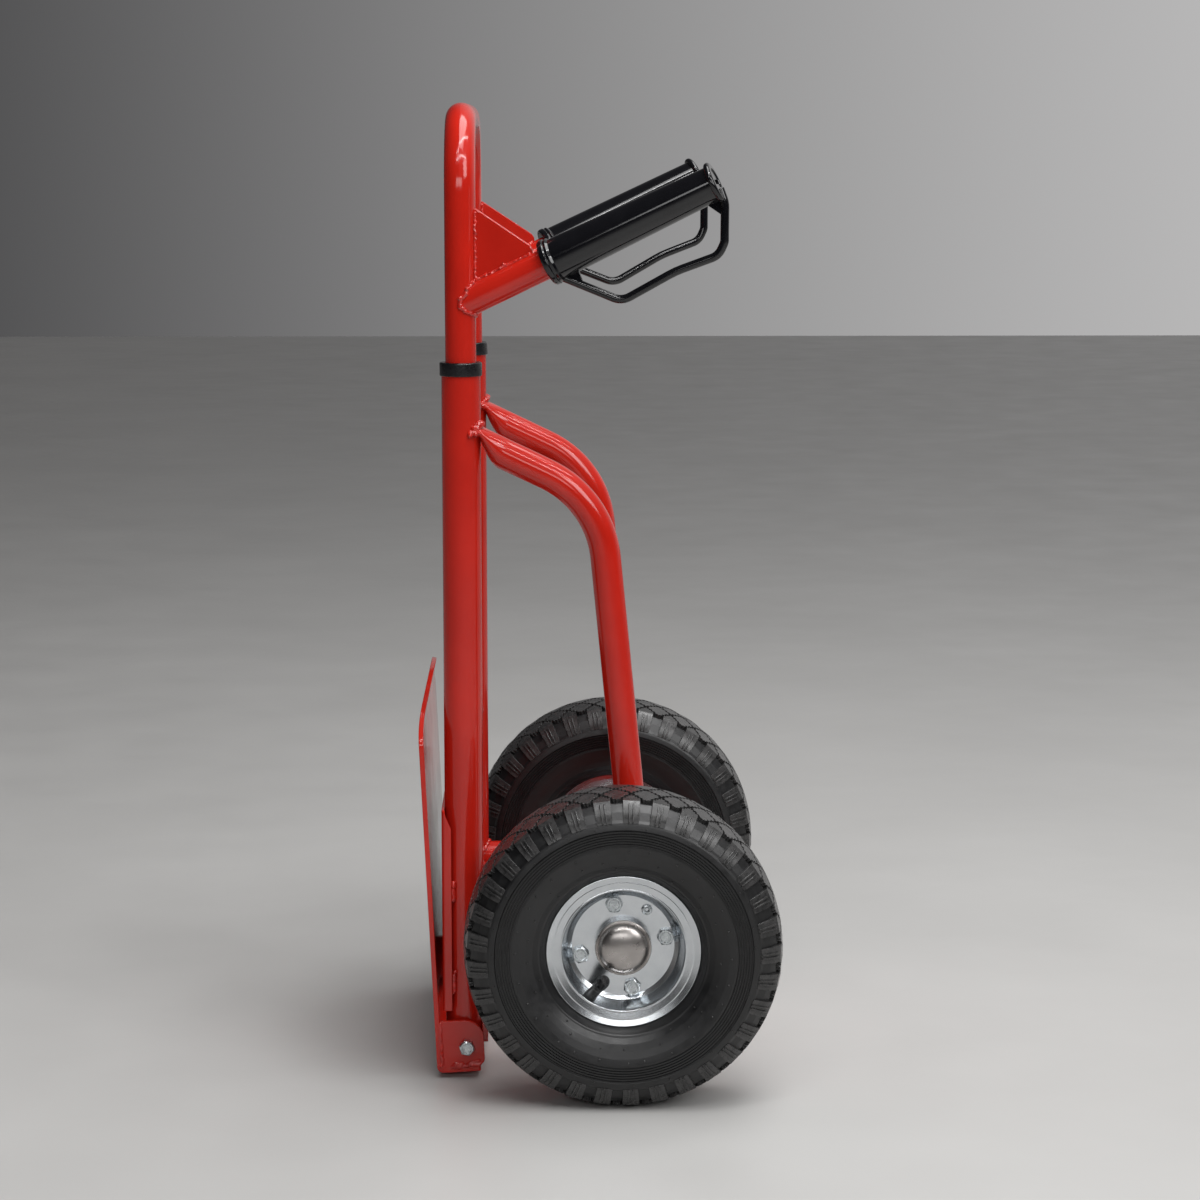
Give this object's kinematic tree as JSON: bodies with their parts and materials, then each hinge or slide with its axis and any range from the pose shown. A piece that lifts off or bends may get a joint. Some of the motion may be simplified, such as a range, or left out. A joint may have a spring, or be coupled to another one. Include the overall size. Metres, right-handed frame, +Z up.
{
  "type": "hand truck",
  "caption": "Two-wheeled upright hand truck with a telescoping handle loop, rear grips with hand guards, a fold-up toe plate and pneumatic wheels.",
  "frame": {"origin": "middle of the bounding box in plan, on the floor under the wheels, with the handle lowered and the toe plate folded up", "axes": "+Z up, -X forward to the load and toe plate, +X back to the user and grips, the axle along Y, left wheel on -Y"},
  "size_m": [0.2985, 0.475, 0.8098],
  "materials": {
    "red_paint": "gloss powder coat",
    "black_plastic": "gloss moulded",
    "tyre_rubber": "matt moulded rubber",
    "butyl_rubber": "smooth rubber",
    "bright_zinc": "bright zinc plate",
    "polished_cap": "polished",
    "plain_steel": "turned",
    "zinc_hardware": "zinc plated fasteners"
  },
  "bodies": {
    "frame": {"uprights": "red_paint", "struts": "red_paint", "cross_tubes": "red_paint", "axle_tube": "red_paint", "axle_braces": "red_paint", "back_plate": "red_paint", "stop_bar": "red_paint", "collars": "black_plastic", "handle_stop_pins": "plain_steel", "lock_sleeves": "red_paint", "pivot_bolts": "zinc_hardware", "pivot_nuts": "zinc_hardware", "pivot_spacers": "zinc_hardware", "axle": "plain_steel", "axle_washers": "zinc_hardware", "cotter_pins": "zinc_hardware", "wheel_spacers": "zinc_hardware"},
    "handle": {"handle_loop": "red_paint", "handle_bars": "red_paint", "gussets": "red_paint", "grips": "black_plastic", "hand_guards": "black_plastic", "leg_plugs": "black_plastic"},
    "toe": {"toe_plate": "red_paint", "toe_ears": "red_paint"},
    "lock_left": {"lock_pin_left": "zinc_hardware", "lock_knob_left": "black_plastic"},
    "lock_right": {"lock_pin_right": "zinc_hardware", "lock_knob_right": "black_plastic"},
    "wheel_left": {"tyre_left": "tyre_rubber", "inner_tube_left": "butyl_rubber", "rim_outer_left": "bright_zinc", "rim_inner_left": "bright_zinc", "hub_left": "bright_zinc", "bearings_left": "plain_steel", "rim_bolts_left": "zinc_hardware", "rim_nuts_left": "zinc_hardware", "hub_cap_left": "polished_cap", "valve_left": "butyl_rubber", "valve_cap_left": "black_plastic", "rim_rivet_left": "zinc_hardware"},
    "wheel_right": {"tyre_right": "tyre_rubber", "inner_tube_right": "butyl_rubber", "rim_outer_right": "bright_zinc", "rim_inner_right": "bright_zinc", "hub_right": "bright_zinc", "bearings_right": "plain_steel", "rim_bolts_right": "zinc_hardware", "rim_nuts_right": "zinc_hardware", "hub_cap_right": "polished_cap", "valve_right": "butyl_rubber", "valve_cap_right": "black_plastic", "rim_rivet_right": "zinc_hardware"}
  },
  "joints": [
    {"name": "handle_slide", "type": "slide", "parent": "frame", "child": "handle", "axis": [0, 0, 1], "range_m": [0, 0.3]},
    {"name": "toe_plate_fold", "type": "hinge", "parent": "frame", "child": "toe", "pos_m": [-0.1102, 0, 0.0275], "axis": [0, -1, 0], "range_deg": [0, 87.3]},
    {"name": "wheel_left_spin", "type": "hinge", "parent": "frame", "child": "wheel_left", "pos_m": [0.0193, -0.195, 0.13], "axis": [0, 1, 0], "continuous": true},
    {"name": "wheel_right_spin", "type": "hinge", "parent": "frame", "child": "wheel_right", "pos_m": [0.0193, 0.195, 0.13], "axis": [0, 1, 0], "continuous": true},
    {"name": "lock_left_pull", "type": "slide", "parent": "frame", "child": "lock_left", "axis": [0, 1, 0], "range_m": [0, 0.008], "stiffness_N_per_m": 800, "springref_m": -0.012},
    {"name": "lock_right_pull", "type": "slide", "parent": "frame", "child": "lock_right", "axis": [0, -1, 0], "range_m": [0, 0.008], "stiffness_N_per_m": 800, "springref_m": -0.012}
  ]
}
